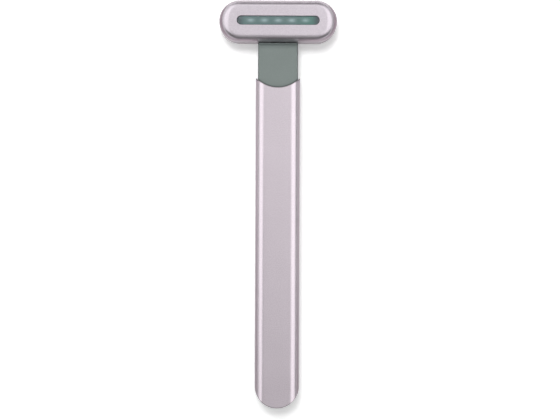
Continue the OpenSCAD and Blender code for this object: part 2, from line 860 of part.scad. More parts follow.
// Three-wave spring washer, which sets the friction of the swivel
module wave_washer() {
    steps = 36;
    inner = pivot_d / 2 + 0.08;
    base = bush_top + (wave_room - wave_t) / 2 + 0.02;
    points = [for (i = [0:steps - 1])
        let (a = 360 * i / steps, y = base + wave_rise * sin(3 * a))
        each [for (c = [[inner, 0], [inner + wave_w, 0], [inner + wave_w, wave_t], [inner, wave_t]])
            [c[0] * cos(a), y + c[1], axis_z + c[0] * sin(a)]]];
    faces = [for (i = [0:steps - 1], k = [0:3])
        let (a = 4 * i + k, b = 4 * i + (k + 1) % 4, n = 4 * steps)
        each [[a, b, (a + 4) % n], [b, (b + 4) % n, (a + 4) % n]]];
    color(STEEL) polyhedron(points, faces);
}

// Open ring in the groove of the pivot
module retaining_ring() {
    color(STEEL) difference() {
        bar_y(ring_outer_r, ring_y + fit / 2, ring_y + ring_t - fit / 2);
        bar_y(pivot_d / 2 - groove_depth + fit, ring_y - 1, ring_y + ring_t + 1);
        block([-ring_mouth / 2, ring_y - 1, axis_z], [ring_mouth / 2, ring_y + ring_t + 1, far]);
    }
}

// Keyed ring whose lug meets the stop posts of the back shell at each end of the turn
module stop_ring() {
    color(STEEL) difference() {
        union() {
            bar_y(stop_hub_r, stop_y, stop_y + stop_t);
            intersection() {
                bar_y(stop_lug_r, stop_y, stop_y + stop_t);
                block([-stop_lug_w / 2, stop_y, 0], [stop_lug_w / 2, stop_y + stop_t, axis_z]);
            }
        }
        intersection() {
            bar_y(pivot_d / 2 + fit, stop_y - 1, stop_y + stop_t + 1);
            block([-pivot_d / 2 + pivot_flat - fit, stop_y - 1, 0],
                  [pivot_d / 2 - pivot_flat + fit, stop_y + stop_t + 1, far]);
        }
    }
}

// Bundle of wires from the end of the main board through the pivot
module head_harness() {
    color("dimgray") bar_y(bundle_d / 2, board_top + fit, bundle_end);
}

// ---------------------------------------------------------------- head

// Openings of both shells for the bush and its flange
module bush_holes() {
    bar_y(bush_outer_r + fit, y_head - 1, bush_top + fit);
    bar_y(bush_flange_r + fit, y_head + head_wall, y_head + head_wall + bush_flange_t + 2 * fit);
}

// Front shell with the window slot, and grooves for the snaps
module face_plate() {
    color(MAUVE) difference() {
        sweep_head(head_w, head_h) difference() {
            intersection() {
                head_half_section();
                above_seam();
            }
            head_half_cavity();
            translate([0, axis_z - 1]) square([head_inner_h / 2, 2]);
        }
        head_slab(window_w, window_h, face_in_z - 1, head_t + 1);
        bush_holes();
        for (side = [0, 1], x = [-snap_x, snap_x]) translate([0, y_mid, 0]) mirror([0, side, 0])
            block([x - snap_l / 2 - snap_room, head_inner_h / 2 - 1, snap_z - snap_room],
                  [x + snap_l / 2 + snap_room, head_inner_h / 2 + snap_out + snap_room,
                   snap_z + snap_h + snap_room]);
    }
}

// Back shell: lip, snaps, clamp for the bush, stop posts, screw bosses and motor cradle
module head_back() {
    lip_out = head_inner_h / 2 - fit;
    clamp_y = bush_top;
    post_x = stop_lug_r + 0.2;
    nose_z = axis_z + stop_lug_w / 2 + stop_gap;
    color(MAUVE) difference() {
        union() {
            sweep_head(head_w, head_h) difference() {
                intersection() {
                    head_half_section();
                    below_seam();
                }
                head_half_cavity();
            }
            sweep_head(head_w, head_h) translate([lip_out - lip_t, axis_z - 1]) square([lip_t, lip_h + 1]);
            for (side = [0, 1], x = [-snap_x, snap_x]) translate([0, y_mid, 0]) mirror([0, side, 0])
                block([x - snap_l / 2, lip_out - eps, snap_z],
                      [x + snap_l / 2, head_inner_h / 2 + snap_out - fit, snap_z + snap_h]);
            block([-clamp_w / 2, y_head + head_wall - eps, head_wall - eps],
                  [clamp_w / 2, clamp_y, axis_z]);
            for (side = [0, 1]) mirror([side, 0, 0]) {
                block([post_x, stop_y - 0.2, head_wall - eps],
                      [post_x + 1.2, stop_y + stop_t + 0.2, nose_z + 0.9]);
                translate([0, 0, axis_z]) rotate([0, 90 - swivel_angle, 0])
                    block([stop_hub_r + 0.4, stop_y - 0.2, nose_z - axis_z],
                          [post_x + 1.2, stop_y + stop_t + 0.2, nose_z - axis_z + 0.9]);
            }
            for (sx = [-1, 1], sy = [-1, 1])
                bar_z(carrier_boss_d / 2, head_wall - eps, carrier_z,
                      sx * carrier_boss_x, y_mid + sy * carrier_boss_y);
            block([boot_x - cradle_t - fit, y_mid - motor_d / 2 - boot_t - cradle_t - fit, head_wall - eps],
                  [boot_x + boot_l + cradle_t + fit, y_mid + motor_d / 2 + boot_t + cradle_t + fit,
                   head_wall + cradle_h]);
        }
        bush_holes();
        // the lip stands back from the clamp half of the carrier
        block([-clamp_w / 2 - fit, y_head + head_wall, axis_z],
              [clamp_w / 2 + fit, y_head + head_wall + lip_t + 2 * fit, far]);
        for (sx = [-1, 1], sy = [-1, 1])
            bar_z(small_screw_d / 2 + 0.02, carrier_z - small_screw_l + led_chamber - 1, far,
                  sx * carrier_boss_x, y_mid + sy * carrier_boss_y);
        // seat of the boot and the ends of the can in the cradle
        block([boot_x - fit, y_mid - motor_d / 2 - boot_t - fit, head_wall],
              [boot_x + boot_l + fit, y_mid + motor_d / 2 + boot_t + fit, far]);
        translate([boot_x - 3, y_mid, motor_z]) rotate([0, 90, 0])
            cylinder(r = motor_d / 2 + 0.1, h = boot_l + 6);
    }
}

// Clear lens with a flange behind the face plate
module window_lens() {
    color(TEAL) {
        head_slab(window_w - 2 * lens_fit, window_h - 2 * lens_fit, face_in_z - eps,
                  head_t - window_recess);
        head_slab(window_w + 2 * lens_lip, window_h + 2 * lens_lip, lens_z, face_in_z);
    }
}

// Heating film stuck behind the face plate, round the lens
module heater_film() {
    margin = 2 * (head_wall + film_margin);
    color([0.75, 0.50, 0.22]) difference() {
        head_slab(head_w - margin, head_h - margin, face_in_z - film_t, face_in_z);
        head_slab(window_w + 2 * lens_lip + 0.4, window_h + 2 * lens_lip + 0.4,
                  face_in_z - 1, face_in_z + 1);
    }
}

// Temperature bead under one end of the heating film
module thermistor() {
    bead_x = (carrier_w + bead_d) / 2 + 0.35;
    color("black") translate([bead_x, y_mid - bead_l / 2, face_in_z - film_t - bead_d / 2 - 0.02])
        rotate([-90, 0, 0]) cylinder(d = bead_d, h = bead_l);
}

// Carrier of the light board and the lens, with the upper clamp of the bush
module led_carrier() {
    clamp_y = y_head + head_wall + fit;
    color(NYLON) {
        difference() {
            union() {
                head_slab(carrier_w, carrier_h, carrier_z, lens_z);
                along_x(-clamp_w / 2, clamp_w / 2)
                    polygon([[clamp_y, axis_z], [bush_top, axis_z], [bush_top, lens_z],
                             [clamp_y + clamp_chamfer, lens_z],
                             [clamp_y, lens_z - 2 * clamp_chamfer]]);
                block([-clamp_w / 2, clamp_y + clamp_chamfer, lens_z - bridge_t],
                      [clamp_w / 2, y_mid - chamber_h / 2 - 0.5, lens_z]);
            }
            head_slab(chamber_w, chamber_h, carrier_z - 1, lens_z + 1);
            bush_holes();
            // room for the rings on the pivot
            block([-pivot_room_w / 2, bush_top, 0],
                  [pivot_room_w / 2, notch_y, lens_z - bridge_t]);
            for (sx = [-1, 1], sy = [-1, 1])
                translate([sx * carrier_boss_x, y_mid + sy * carrier_boss_y, 0]) {
                bar_z(small_screw_d / 2 + 0.1, 0, far);
                bar_z(small_screw_head_d / 2 + 0.05, lens_z - small_screw_head_t, far);
            }
        }
        for (sx = [-1, 1], sy = [-1, 1])
            bar_z(peg_d / 2, led_board_z - 0.4, carrier_z + eps, sx * peg_x, y_mid + sy * peg_y);
    }
}

// Light board with holes for the pegs, notches for the bosses and one for the pivot
module led_board() {
    color([0.90, 0.90, 0.88]) rise(led_board_z, carrier_z) difference() {
        translate([-led_board_w / 2, y_mid - led_board_h / 2]) square([led_board_w, led_board_h]);
        for (sx = [-1, 1], sy = [-1, 1]) {
            translate([sx * peg_x, y_mid + sy * peg_y]) circle(peg_d / 2 + fit);
            translate([sx * carrier_boss_x, y_mid + sy * carrier_boss_y]) circle(carrier_boss_d / 2 + 0.25);
        }
        translate([-notch_w / 2, y_head]) square([notch_w, notch_y - y_head]);
    }
}

module leds() {
    color([0.93, 0.90, 0.62]) for (i = [0:led_count - 1])
        translate([(i - (led_count - 1) / 2) * led_pitch - led_l / 2, y_mid - led_w / 2, carrier_z])
            cube([led_l, led_w, led_t]);
}

module carrier_screws() {
    color(STEEL) for (sx = [-1, 1], sy = [-1, 1])
        translate([sx * carrier_boss_x, y_mid + sy * carrier_boss_y, lens_z]) mirror([0, 0, 1])
            screw(small_screw_d, small_screw_head_d, small_screw_head_t, small_screw_l);
}

// Flanged bush, motor and weight lie along X in the head
module motor_can() {
    color(STEEL) translate([motor_x, y_mid, motor_z]) rotate([0, 90, 0]) rotate_extrude() {
        difference() {
            union() {
                translate([0, 0.4]) square([motor_d / 2, motor_l - 0.8]);
                square([motor_d / 2 - 0.4, motor_l]);
                for (v = [0.4, motor_l - 0.4]) translate([motor_d / 2 - 0.4, v]) circle(0.4, $fn = 24);
                square([motor_nose_d / 2, motor_l + motor_nose_l]);
            }
            translate([0, motor_l - shaft_in - fit])
                square([motor_shaft_d / 2 + run, shaft_in + motor_nose_l + 1]);
        }
    }
}

module motor_shaft() {
    x0 = motor_x + motor_l - shaft_in;
    color(STEEL) translate([x0, y_mid, motor_z]) rotate([0, 90, 0])
        cylinder(d = motor_shaft_d, h = weight_x + weight_l + 0.2 - x0);
}

module eccentric_weight() {
    color([0.55, 0.53, 0.50]) translate([weight_x, y_mid, motor_z]) rotate([0, 90, 0])
        linear_extrude(weight_l) difference() {
            union() {
                intersection() {
                    circle(weight_r);
                    translate([0, -far]) square([far, 2 * far]);
                }
                circle(weight_hub_r);
            }
            circle(motor_shaft_d / 2 + shaft_fit);
        }
}

// Rubber saddle that stands on the back shell and holds the can
module motor_boot() {
    color([0.25, 0.25, 0.26]) difference() {
        union() {
            translate([boot_x, y_mid, motor_z]) rotate([0, 90, 0])
                cylinder(r = motor_d / 2 + boot_t, h = boot_l);
            block([boot_x, y_mid - motor_d / 2 - boot_t, head_wall],
                  [boot_x + boot_l, y_mid + motor_d / 2 + boot_t, motor_z]);
        }
        translate([boot_x - 1, y_mid, motor_z]) rotate([0, 90, 0])
            cylinder(r = motor_d / 2 + 0.02, h = boot_l + 2);
    }
}

// Leads from the end of the bundle to the light board, the film and the motor
module head_leads() {
    y0 = bundle_end + 0.6;
    under = led_board_z - fine_wire_d / 2 - 0.05;
    film_x = head_w / 2 - head_wall - 1.3;
    board_x = led_board_w / 2;
    color("firebrick") wire([[-0.6, y0, axis_z], [-2.4, y0 + 1.2, axis_z + 0.2],
                             [-6, y_mid + 1.8, under - 0.5], [-9, y_mid + 1.6, under],
                             [-12, y_mid + 1.6, under]], fine_wire_d);
    color("gold") wire([[-0.6, y0, axis_z - 1], [-3, y0 + 0.6, axis_z - 1.2], [-8, y_mid, under - 1.2],
                        [-12, y_mid - 0.6, under], [-15, y_mid - 0.6, under]], fine_wire_d);
    color("royalblue") wire([[0.6, y0, axis_z - 0.6], [2.4, y_mid + 0.4, motor_z + 0.7],
                             [4.8, y_mid, motor_z + 0.1], [motor_x - 0.05, y_mid, motor_z]], fine_wire_d);
    color("gold") wire([[-film_x + 0.9, y_mid + 1, face_in_z - film_t - 0.5],
                        [-film_x + 0.5, y_mid + 1.1, face_in_z - film_t - 1.2],
                        [-film_x, y_mid + 1.3, lens_z - 2], [-film_x + 0.3, y_mid + 1.5, led_board_z - 0.1],
                        [-board_x - 0.3, y_mid + 1.4, under], [-board_x + 2, y_mid + 1, under]],
                       fine_wire_d);
}

// ---------------------------------------------------------------- nodes

handle_shell();
end_cap();
usb_shell();
usb_tongue();
charge_board();
charge_parts();
charge_leads();
battery_cell();
battery_tabs();
inner_frame();
frame_screw();
main_board();
board_parts();
tact_switch();
switch_plunger();
button_cap();
neck_front();
neck_back();
neck_screws();
swivel_shaft();
wave_washer();
retaining_ring();
stop_ring();
head_harness();
swivel_bush();
face_plate();
head_back();
window_lens();
heater_film();
thermistor();
led_carrier();
led_board();
leds();
carrier_screws();
motor_can();
motor_shaft();
eccentric_weight();
motor_boot();
head_leads();
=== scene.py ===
"""Looks of the heated eye massager wand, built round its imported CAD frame.

The wand lies on its back on a white sweep. X runs across it, Y from the round end of the handle
to the head, and Z up, out of the lit face. Every length is in metres.
"""
import json
import math

import bpy
import numpy as np
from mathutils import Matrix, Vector


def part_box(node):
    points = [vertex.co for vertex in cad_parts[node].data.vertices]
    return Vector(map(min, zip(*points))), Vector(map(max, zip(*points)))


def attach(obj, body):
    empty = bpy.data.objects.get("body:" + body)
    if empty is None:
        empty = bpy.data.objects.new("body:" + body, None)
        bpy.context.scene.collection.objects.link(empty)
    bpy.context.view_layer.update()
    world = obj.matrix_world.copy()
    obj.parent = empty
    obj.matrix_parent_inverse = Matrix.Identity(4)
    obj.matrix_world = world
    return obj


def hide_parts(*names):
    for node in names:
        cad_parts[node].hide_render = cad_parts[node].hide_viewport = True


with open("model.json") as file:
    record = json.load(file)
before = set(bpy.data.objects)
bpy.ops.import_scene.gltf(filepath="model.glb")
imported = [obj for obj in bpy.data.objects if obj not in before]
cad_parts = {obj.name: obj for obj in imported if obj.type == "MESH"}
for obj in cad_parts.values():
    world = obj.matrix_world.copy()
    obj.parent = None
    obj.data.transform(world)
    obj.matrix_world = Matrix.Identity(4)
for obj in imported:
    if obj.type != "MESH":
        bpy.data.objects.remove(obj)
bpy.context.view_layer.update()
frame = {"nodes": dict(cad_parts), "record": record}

MM = 0.001
SAME_POINT = 0.0005 * MM

# ---------------------------------------------------------------- sizes
# They come from the frame's boxes. Those that no box shows, such as walls and radii, are the
# part's own.

tube_low, tube_high = (np.array(corner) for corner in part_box("handle_shell"))
head_low, head_high = (np.array(corner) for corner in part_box("face_plate"))
lens_low, lens_high = (np.array(corner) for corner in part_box("window_lens"))
cap_low, cap_high = (np.array(corner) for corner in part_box("button_cap"))
bush_low, bush_high = (np.array(corner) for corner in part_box("swivel_bush"))

TUBE_HALF_W = (tube_high[0] - tube_low[0]) / 2
TUBE_HALF_T = (tube_high[2] - tube_low[2]) / 2
AXIS_Z = TUBE_HALF_T
TUBE_WALL = 0.9 * MM
TUBE_EDGE_R = 4 * MM
TUBE_INNER_R = 2.4 * MM
END_ARC_R = TUBE_HALF_W + 0.05 * MM
UPPER_ARC_R = 12.4 * MM
CUT_EDGE_R = 0.14 * MM
NECK_HALF_W = 8.3 * MM
NECK_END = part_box("neck_front")[1][1]

HEAD_HALF_W = (head_high[0] - head_low[0]) / 2
HEAD_HALF_H = (head_high[1] - head_low[1]) / 2
HEAD_STRAIGHT = HEAD_HALF_W - HEAD_HALF_H
HEAD_Y = (head_low[1] + head_high[1]) / 2
HEAD_TOP = head_high[2]
HEAD_WALL = 1.3 * MM
FACE_EDGE_R = 3.4 * MM
END_DRAW = 1.1 * MM
SIDE_DRAW = 0.7 * MM
BACK_EDGE_R = 3 * MM
SEAM_EDGE_R = 0.12 * MM
SLOT_HALF_W = 34.3 / 2 * MM
SLOT_HALF_H = 3.7 / 2 * MM
SLOT_STRAIGHT = SLOT_HALF_W - SLOT_HALF_H
SLOT_EDGE_R = 0.1 * MM
BUSH_HOLE_R = (bush_high[0] - bush_low[0]) / 2 - 0.75 * MM
LIGHT_PITCH = 5.68 * MM
LIGHT_COUNT = 5
LIGHTS_HALF_W = LIGHT_COUNT / 2 * LIGHT_PITCH

# ---------------------------------------------------------------- grids to meshes


def spread(start, stop, count, pull=1.0):
    """Numbers from start to stop, drawn towards both ends as pull goes from 0 to 1."""
    even = np.linspace(0, 1, count)
    eased = (1 - np.cos(math.pi * even)) / 2
    return start + (stop - start) * (even + pull * (eased - even))


def quads_of(rows, columns, close_columns):
    """Corner numbers of the quads of a grid whose last row meets the first, and whose last
    column may meet the first too."""
    column = np.arange(columns if close_columns else columns - 1)
    row, column = (part.ravel() for part in np.meshgrid(np.arange(rows), column, indexing="ij"))
    next_row, next_column = (row + 1) % rows, (column + 1) % columns
    corners = [row * columns + column, next_row * columns + column,
               next_row * columns + next_column, row * columns + next_column]
    return np.stack(corners, axis=1)


def new_object(name, data):
    """A new object in the scene, for a mesh, a lamp or a camera."""
    made = bpy.data.objects.new(name, data)
    bpy.context.scene.collection.objects.link(made)
    return made


def keep_flat(piece):
    """Weights the normals by area, so that a small round edge does not shade its flat faces."""
    piece.modifiers.new("flat_faces_stay_flat", "WEIGHTED_NORMAL").weight = 60


def closed_piece(name, grid, body, finish, rim=None, close_columns=True):
    """A closed mesh from a grid of points of shape (rows, columns, 3).

    Points that coincide become one, so poles and centre lines close. Quads that lose a corner
    become triangles. The signed volume, a sum of triple products, tells whether the faces
    point outwards, and they are turned round if it is negative. rim is a number for each
    point, 1 on the small rounded edges, that the finishes read as an attribute.
    """
    rows, columns = grid.shape[:2]
    points = grid.reshape(-1, 3)
    quads = quads_of(rows, columns, close_columns)
    keys = np.round(points / SAME_POINT).astype(np.int64)
    first, same = np.unique(keys, axis=0, return_index=True, return_inverse=True)[1:]
    points, quads = points[first], same.reshape(-1)[quads]
    doubled = quads == np.roll(quads, -1, axis=1)
    whole = quads[~doubled.any(axis=1)]
    pinched = quads[doubled.sum(axis=1) == 1]
    kept = ~doubled[doubled.sum(axis=1) == 1]
    triangles = pinched[kept].reshape(-1, 3)
    a, b, c, d = (points[whole[:, i]] for i in range(4))
    e, f, g = (points[triangles[:, i]] for i in range(3))
    volume = (a * np.cross(b, c)).sum() + (a * np.cross(c, d)).sum() + (e * np.cross(f, g)).sum()
    if volume < 0:
        whole, triangles = whole[:, ::-1], triangles[:, ::-1]
    mesh = bpy.data.meshes.new(name)
    mesh.from_pydata(points.tolist(), [], whole.tolist() + triangles.tolist())
    edge = mesh.attributes.new("rim", "FLOAT", "POINT")
    edge.data.foreach_set("value", np.zeros(len(points)) if rim is None else rim.ravel()[first])
    mesh.shade_smooth()
    mesh.materials.append(finish.material)
    piece = new_object(name, mesh)
    keep_flat(piece)
    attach(piece, body)
    return piece


# ---------------------------------------------------------------- outlines


def rounded_outline(half_w, half_h, radius):
    """Closed outline of a rounded rectangle: four quarter circles, joined by straight sides."""
    quarter = np.linspace(0, math.pi / 2, 25)
    parts = []
    for turn, (sx, sy) in enumerate([(1, 1), (-1, 1), (-1, -1), (1, -1)]):
        angle = quarter + turn * math.pi / 2
        corner = np.stack([sx * (half_w - radius) + radius * np.cos(angle),
                           sy * (half_h - radius) + radius * np.sin(angle)], axis=1)
        parts.append(corner)
        along_x = turn % 2 == 0
        length = 2 * ((half_w if along_x else half_h) - radius)
        way = np.array([-sx, 0]) if along_x else np.array([0, -sy])
        steps = spread(0, 1, 33 if along_x else 15, 0.6)[1:-1]
        parts.append(corner[-1] + steps[:, None] * length * way)
    return np.concatenate(parts)


def stadium_parameters():
    """Share along the straight sides and unit direction of the round ends, once round a stadium.

    The middle of the straight sides is divided like the half circle of the bush's hole, so
    that the shells can be arched there.
    """
    hole = -np.cos(np.linspace(0, math.pi, 33)) * BUSH_HOLE_R / HEAD_STRAIGHT
    flank = spread(BUSH_HOLE_R / HEAD_STRAIGHT, 1, 16, 0.5)[1:]
    side = np.concatenate([-flank[::-1], hole, flank])
    angle = np.linspace(-math.pi / 2, math.pi / 2, 65)[1:-1]
    end = np.ones(len(angle))
    share = np.concatenate([side, end, side[::-1], -end])
    across = np.concatenate([0 * side, np.cos(angle), 0 * side, -np.cos(angle)])
    up = np.concatenate([0 * side - 1, np.sin(angle), 0 * side + 1, -np.sin(angle)])
    return share, across, up


def arch_of(share, up):
    """How far the edge of a shell is arched over the bush: a half circle on the lower side."""
    x = share * HEAD_STRAIGHT
    return np.where(up == -1, np.sqrt(np.maximum(BUSH_HOLE_R ** 2 - x ** 2, 0)), 0)


def head_grid(stations, arch_sign=0, draw=0, sink=0):
    """Points of a head-shaped surface, a stadium at each station: the straight side's share times
    its half length, plus the round end's direction times the radius. A station is (half length
    of the straight side, radius, height, how much of the bush's arch it follows). draw and sink
    are shares, one for each station: at the round ends the radius and the height are less by
    that share of END_DRAW, and at the long sides the radius is more by that of SIDE_DRAW."""
    share, across, up = stadium_parameters()
    straight, radius, height, follow = (np.array(column)[None] for column in zip(*stations))
    share, across, up = share[:, None], across[:, None], up[:, None]
    radius = radius + np.array(draw) * (SIDE_DRAW * (1 - across ** 2) - END_DRAW * across ** 2)
    x = share * straight + across * radius
    y = HEAD_Y + up * radius
    z = height + arch_sign * follow * arch_of(share, up) - np.array(sink) * END_DRAW * across ** 2
    return np.stack(np.broadcast_arrays(x, y, z), axis=-1)


def arc(centre, radius, start, stop, count):
    """Points (u, v) of a circular arc between two angles in degrees."""
    angle = np.radians(np.linspace(start, stop, count))
    return [(centre[0] + radius * math.cos(a), centre[1] + radius * math.sin(a)) for a in angle]


class Section:
    """Stations once round the section of a head-shaped piece, and for each a number, 1 on the
    small rounded edges."""

    def __init__(self):
        self.stations, self.rim = [], []

    def add(self, points, edge=0, follow=0, length=HEAD_STRAIGHT):
        """Adds points (distance from the middle line, height) of one kind."""
        for u, z in points:
            self.stations.append((length, u, z, follow))
            self.rim.append(edge)


# ---------------------------------------------------------------- pieces


def handle_tube(finish):
    """Tube of the handle with its hollow upper edge and its round end.

    Each point of the outer outline is paired with one of the inner outline. Between the two,
    the wall runs once round: up the outside, over the cut edge, down the inside and back over
    the lower cut edge. Both cuts are upright, so the ends of the wall are the plan's two arcs,
    y = centre -/+ sqrt(r^2 - x^2), at each point's own x. along runs from 0 at the lower cut to
    1 at the upper one, depth from 0 outside to 1 inside, and back is the rounding of the cut.
    """
    outer = rounded_outline(TUBE_HALF_W, TUBE_HALF_T, TUBE_EDGE_R)
    inner = rounded_outline(TUBE_HALF_W - TUBE_WALL, TUBE_HALF_T - TUBE_WALL, TUBE_INNER_R)
    turn = np.radians(np.linspace(0, 90, 6))
    depth_share = CUT_EDGE_R / TUBE_WALL * (1 - np.cos(turn))
    inset = CUT_EDGE_R * (1 - np.sin(turn))
    run = spread(0, 1, 41)[1:-1]
    upper_depth = np.concatenate([depth_share, [0.5], 1 - depth_share[::-1]])
    upper_inset = np.concatenate([inset, [0], inset[::-1]])
    depth = np.concatenate([0 * run, upper_depth, 0 * run + 1, upper_depth[::-1]])
    along = np.concatenate([run, 0 * upper_depth + 1, run[::-1], 0 * upper_depth])
    back = np.concatenate([0 * run, -upper_inset, 0 * run, upper_inset[::-1]])
    rim = np.concatenate([0 * run, np.sign(upper_inset), 0 * run, np.sign(upper_inset[::-1])])
    x = outer[:, :1] + (inner[:, :1] - outer[:, :1]) * depth
    z = outer[:, 1:] + (inner[:, 1:] - outer[:, 1:]) * depth + AXIS_Z
    end_arc_y = tube_low[1] + END_ARC_R
    upper_arc_y = tube_high[1] + math.sqrt(UPPER_ARC_R ** 2 - TUBE_HALF_W ** 2)
    lowest = end_arc_y - np.sqrt(END_ARC_R ** 2 - x ** 2)
    highest = upper_arc_y - np.sqrt(UPPER_ARC_R ** 2 - x ** 2)
    slope_room = 0.2 * MM
    low_y, high_y = lowest + slope_room, highest - slope_room
    between = low_y + (high_y - low_y) * along
    y = np.where(along == 1, highest + back, np.where(along == 0, lowest + back, between))
    grid = np.stack([x, y, z], axis=-1)
    piece = closed_piece("handle_tube", grid, "handle", finish,
                         np.broadcast_to(rim, x.shape))
    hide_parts("handle_shell")
    return piece


def head_face(finish):
    """Front shell of the head. Its section goes once round: down the slot, out under the face,
    round the inner edge, over the seam, up the side, round the outer edge and in to the slot.
    """
    face_in = HEAD_TOP - HEAD_WALL
    arc_u, arc_z = HEAD_HALF_H - FACE_EDGE_R, HEAD_TOP - FACE_EDGE_R
    slot_u, slot_z = SLOT_HALF_H + SLOT_EDGE_R, HEAD_TOP - SLOT_EDGE_R
    seam_u, seam_z = HEAD_HALF_H - SEAM_EDGE_R, AXIS_Z + SEAM_EDGE_R
    section = Section()
    ring_z, ring_u = face_in + 0.3 * MM, SLOT_HALF_H + 0.4 * MM
    section.add([(SLOT_HALF_H, z) for z in (slot_z, ring_z, face_in)], length=SLOT_STRAIGHT)
    section.add([(u, face_in) for u in spread(ring_u, arc_u, 5)[1:]])
    section.add(arc((arc_u, arc_z), FACE_EDGE_R - HEAD_WALL, 90, 0, 9)[1:])
    section.add([(HEAD_HALF_H - HEAD_WALL, AXIS_Z)], follow=1)
    section.add([(seam_u, AXIS_Z)], edge=1, follow=1)
    section.add(arc((seam_u, seam_z), SEAM_EDGE_R, -90, 0, 5)[1:], edge=1, follow=1)
    for share in (0.1, 0.5, 0.9):
        section.add([(HEAD_HALF_H, seam_z + share * (arc_z - seam_z))], follow=1 - share)
    section.add(arc((arc_u, arc_z), FACE_EDGE_R, 0, 90, 33))
    for share in spread(0, 1, 15, 0.7)[1:-1]:
        section.add([(arc_u + share * (slot_u - arc_u), HEAD_TOP)],
                    length=HEAD_STRAIGHT + share * (SLOT_STRAIGHT - HEAD_STRAIGHT))
    section.add(arc((slot_u, slot_z), SLOT_EDGE_R, 90, 180, 6)[:-1], length=SLOT_STRAIGHT)
    u, z = np.array(section.stations)[:, 1:3].T
    # drawn is 0 at the outline and the slot, and 1 where the flat face starts. sunk is 0 at the
    # top and the seam, and 1 where the upright side ends.
    drawn = np.clip(np.minimum((HEAD_HALF_H - u) / FACE_EDGE_R, (u - slot_u) / (arc_u - slot_u)), 0, 1)
    outside = np.hypot(np.maximum(u - arc_u, 0), z - arc_z) > FACE_EDGE_R - 0.01 * MM
    sunk = np.clip(np.minimum((HEAD_TOP - z) / FACE_EDGE_R, (z - seam_z) / (arc_z - seam_z)), 0, 1)
    grid = head_grid(section.stations, 1, drawn * outside * (z > arc_z), sunk * outside)
    piece = closed_piece("head_face", grid, "head", finish,
                         np.broadcast_to(section.rim, grid.shape[:2]))
    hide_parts("face_plate")
    return piece


def head_rear(finish):
    """Back shell of the head. Its section runs from the middle line of the back, round the
    outer edge, up the side, over the seam and down the inside to the middle line again."""
    arc_u = HEAD_HALF_H - BACK_EDGE_R
    seam_u, seam_z = HEAD_HALF_H - SEAM_EDGE_R, AXIS_Z - SEAM_EDGE_R
    section = Section()
    section.add([(u, 0) for u in spread(0, arc_u, 13, 0.8)[:-1]])
    section.add(arc((arc_u, BACK_EDGE_R), BACK_EDGE_R, -90, 0, 29))
    for share in (0.1, 0.5, 0.9):
        section.add([(HEAD_HALF_H, BACK_EDGE_R + share * (seam_z - BACK_EDGE_R))], follow=share)
    section.add(arc((seam_u, seam_z), SEAM_EDGE_R, 0, 90, 5), edge=1, follow=1)
    section.add([(HEAD_HALF_H - HEAD_WALL, AXIS_Z)], follow=1)
    section.add(arc((arc_u, BACK_EDGE_R), BACK_EDGE_R - HEAD_WALL, 0, -90, 9))
    section.add([(u, HEAD_WALL) for u in spread(arc_u, 0, 5)[1:]])
    grid = head_grid(section.stations, -1)
    piece = closed_piece("head_rear", grid, "head", finish,
                         np.broadcast_to(section.rim, grid.shape[:2]), close_columns=False)
    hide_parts("head_back")
    return piece


def window_pane(finish):
    """Tinted lens: a low crown, which falls with the square of the distance from its middle line,
    its rounded edge inside the slot, and the flange behind."""
    gap = 0.08 * MM
    pane_half_w, pane_half_h = SLOT_HALF_W - gap, SLOT_HALF_H - gap
    flange_half_h = (lens_high[1] - lens_low[1]) / 2
    edge_r, crown = 0.15 * MM, 0.05 * MM
    top, shelf, bottom = lens_high[2], HEAD_TOP - HEAD_WALL, lens_low[2]
    flat_u = pane_half_h - edge_r
    section = Section()
    section.add([(u, top - crown * (u / flat_u) ** 2) for u in spread(0, flat_u, 9, 0.5)[:-1]],
                length=SLOT_STRAIGHT)
    section.add(arc((flat_u, top - crown - edge_r), edge_r, 90, 0, 6),
                length=pane_half_w - pane_half_h)
    section.add([(pane_half_h, shelf), (flange_half_h, shelf), (flange_half_h, bottom),
                 (0, bottom)], length=SLOT_STRAIGHT)
    piece = closed_piece("window_pane", head_grid(section.stations), "head", finish,
                         close_columns=False)
    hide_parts("window_lens")
    return piece


def push_button(finish):
    """Round button: a dished face, a rounded rim, a straight side, and its flange and boss, as a
    profile (radius, height) turned once round the button's upright axis."""
    radius, boss_r = 4 * MM, 1.5 * MM
    flange_r = radius + 0.7 * MM
    y = (cap_low[1] + cap_high[1]) / 2
    bottom, top = cap_low[2], cap_high[2]
    edge_r, dish = 0.3 * MM, 0.25 * MM
    flange_z = 3.73 * MM
    flange_top = flange_z + 0.5 * MM
    flat_r = radius - 2 * edge_r
    profile = [(u, bottom + dish * (1 - (u / flat_r) ** 2)) for u in np.linspace(0, flat_r, 13)]
    profile += [(radius - edge_r * 1.5, bottom)]
    profile += arc((radius - edge_r, bottom + edge_r), edge_r, -90, 0, 7)
    profile += [(radius, flange_z - 0.1 * MM), (radius, flange_z), (flange_r, flange_z),
                (flange_r, flange_top), (boss_r, flange_top), (boss_r, top), (0, top)]
    u, z = np.array(profile).T
    angle = np.linspace(0, 2 * math.pi, 97)[:-1, None]
    grid = np.stack(np.broadcast_arrays(u * np.cos(angle), y + u * np.sin(angle), z), axis=-1)
    piece = closed_piece("push_button", grid, "button", finish, close_columns=False)
    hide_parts("button_cap")
    return piece


# ---------------------------------------------------------------- finishes


